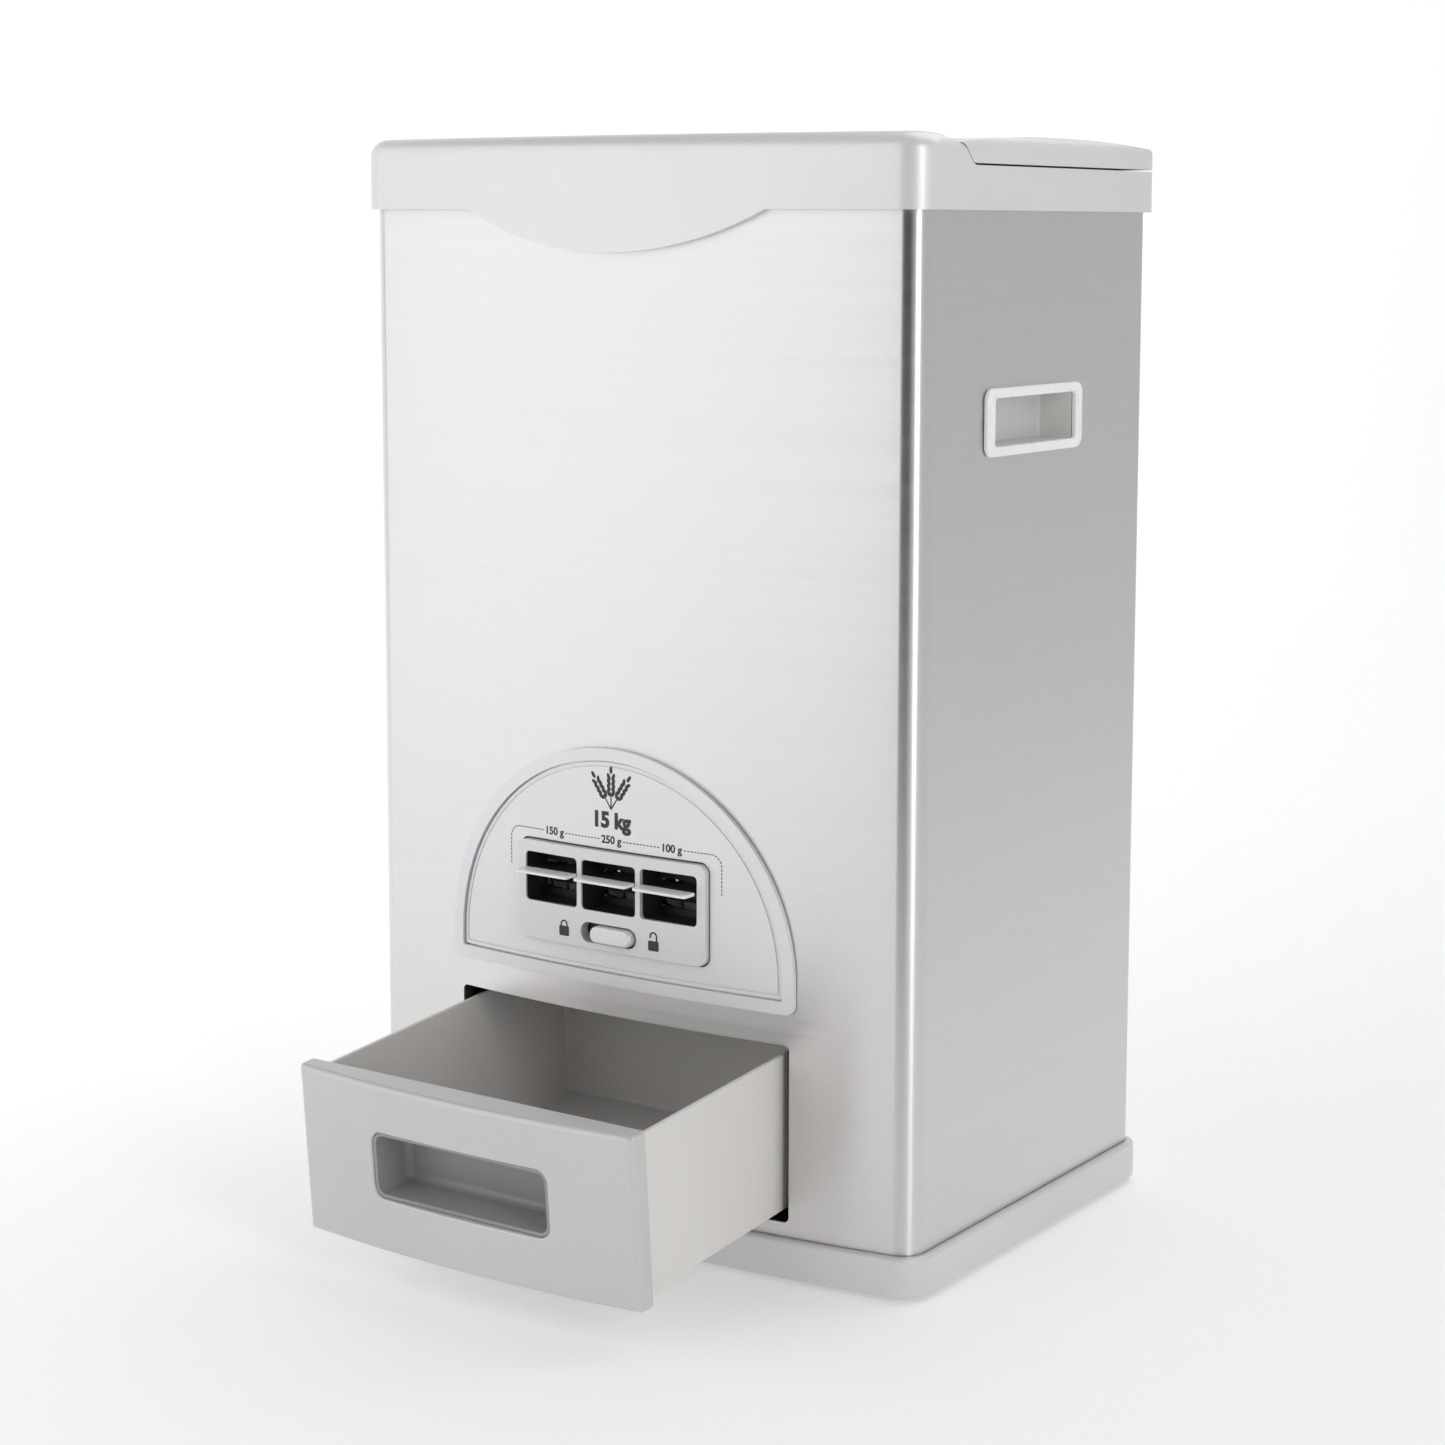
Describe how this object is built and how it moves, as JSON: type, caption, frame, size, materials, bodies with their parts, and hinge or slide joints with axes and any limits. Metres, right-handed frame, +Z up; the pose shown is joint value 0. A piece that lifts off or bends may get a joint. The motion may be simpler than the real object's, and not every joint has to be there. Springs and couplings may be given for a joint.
{
  "type": "grain dispenser",
  "caption": "Free-standing grain dispenser: bowed steel cabinet on a plinth with a filling lid, hopper, half-moon panel of press levers with dose gates, lock slide and pull-out drawer.",
  "frame": {"origin": "on the floor, under the middle of the whole part with its drawer out", "axes": "+Z up, -Y out of the bowed front, +X to the right seen from the front"},
  "size_m": [0.3692, 0.4071, 0.596],
  "materials": {
    "brushed_steel": "fine horizontal grain",
    "zinc_sheet": "plain zinc-coated sheet",
    "bright_steel": "bright zinc",
    "silver_plastic": "satin silver grey",
    "pale_plastic": "satin light grey",
    "white_plastic": "satin off-white",
    "drawer_plastic": "satin warm grey",
    "hopper_plastic": "plain natural plastic",
    "dark_plastic": "matte black",
    "pocket_plastic": "satin mid grey",
    "grey_rubber": "matte grey"
  },
  "bodies": {
    "cabinet": {"base_tray": "pale_plastic", "foot_front_left": "grey_rubber", "foot_front_right": "grey_rubber", "foot_rear_left": "grey_rubber", "foot_rear_right": "grey_rubber", "body_shell": "brushed_steel", "rear_panel": "zinc_sheet", "rear_screw_1": "bright_steel", "rear_screw_2": "bright_steel", "rear_screw_3": "bright_steel", "rear_screw_4": "bright_steel", "top_collar": "silver_plastic", "lid_hinge_pin_left": "bright_steel", "lid_hinge_pin_right": "bright_steel", "handle_bezel_left": "white_plastic", "handle_bezel_right": "white_plastic", "handle_pocket_left": "pocket_plastic", "handle_pocket_right": "pocket_plastic", "hopper_bin": "hopper_plastic", "hopper_funnel": "hopper_plastic", "metering_housing": "hopper_plastic", "lever_shaft": "bright_steel", "shaft_clip_left": "bright_steel", "shaft_clip_right": "bright_steel", "lever_spring_150": "bright_steel", "lever_spring_250": "bright_steel", "lever_spring_100": "bright_steel", "fascia_rim": "silver_plastic", "fascia_plate": "silver_plastic", "lever_module": "silver_plastic", "lever_recess": "dark_plastic", "opening_trim": "dark_plastic", "drawer_runner_left": "hopper_plastic", "drawer_runner_right": "hopper_plastic"},
    "filling_lid": {"lid": "silver_plastic", "lid_seal": "grey_rubber"},
    "drawer": {"drawer_box": "drawer_plastic", "drawer_front": "silver_plastic", "drawer_grip": "pocket_plastic", "drawer_screw_left": "bright_steel", "drawer_screw_right": "bright_steel"},
    "lever_150": {"dose_lever_150": "white_plastic", "dose_gate_150": "bright_steel"},
    "lever_250": {"dose_lever_250": "white_plastic", "dose_gate_250": "bright_steel"},
    "lever_100": {"dose_lever_100": "white_plastic", "dose_gate_100": "bright_steel"},
    "lock": {"lock_knob": "silver_plastic", "lock_bar": "dark_plastic"}
  },
  "joints": [
    {"name": "lid_hinge", "type": "hinge", "parent": "cabinet", "child": "filling_lid", "pos_m": [0, 0.19907, 0.5805], "axis": [-1, 0, 0], "range_deg": [0, 95]},
    {"name": "drawer_slide", "type": "slide", "parent": "cabinet", "child": "drawer", "axis": [0, 0.9968, 0.0802], "range_m": [0, 0.131]},
    {"name": "press_150", "type": "hinge", "parent": "cabinet", "child": "lever_150", "pos_m": [-0.0392, -0.04493, 0.194], "axis": [1, 0, 0], "range_deg": [0, 18], "stiffness_Nm_per_rad": 0.3, "springref_deg": -11.46},
    {"name": "press_250", "type": "hinge", "parent": "cabinet", "child": "lever_250", "pos_m": [0, -0.04493, 0.194], "axis": [1, 0, 0], "range_deg": [0, 18], "stiffness_Nm_per_rad": 0.3, "springref_deg": -11.46},
    {"name": "press_100", "type": "hinge", "parent": "cabinet", "child": "lever_100", "pos_m": [0.0392, -0.04493, 0.194], "axis": [1, 0, 0], "range_deg": [0, 18], "stiffness_Nm_per_rad": 0.3, "springref_deg": -11.46},
    {"name": "lock_slide", "type": "slide", "parent": "cabinet", "child": "lock", "axis": [1, 0, 0], "range_m": [-0.007, 0]}
  ]
}
